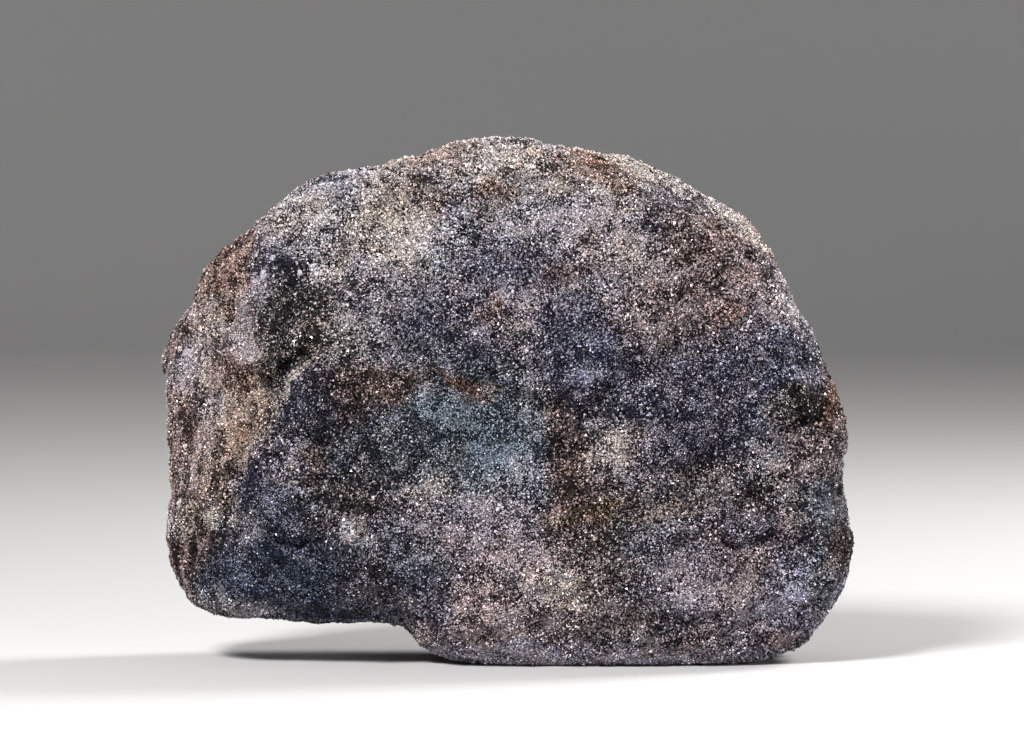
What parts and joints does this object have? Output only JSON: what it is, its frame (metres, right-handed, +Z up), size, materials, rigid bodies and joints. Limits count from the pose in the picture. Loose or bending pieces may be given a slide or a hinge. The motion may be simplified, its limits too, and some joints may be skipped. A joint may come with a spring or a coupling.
{
  "type": "hausmannite specimen",
  "caption": "Rough lump of granular manganese ore standing on a small flat spot, with a broad broken front face.",
  "frame": {"origin": "on the surface that the stone stands on, under the middle of its bounding box", "axes": "+Z up, +X along the stone's long side, and the broad front face of the picture towards -Y"},
  "size_m": [0.0898, 0.0438, 0.0677],
  "materials": {
    "granular_ore": "satin"
  },
  "bodies": {
    "root": {"stone": "granular_ore"}
  },
  "joints": []
}
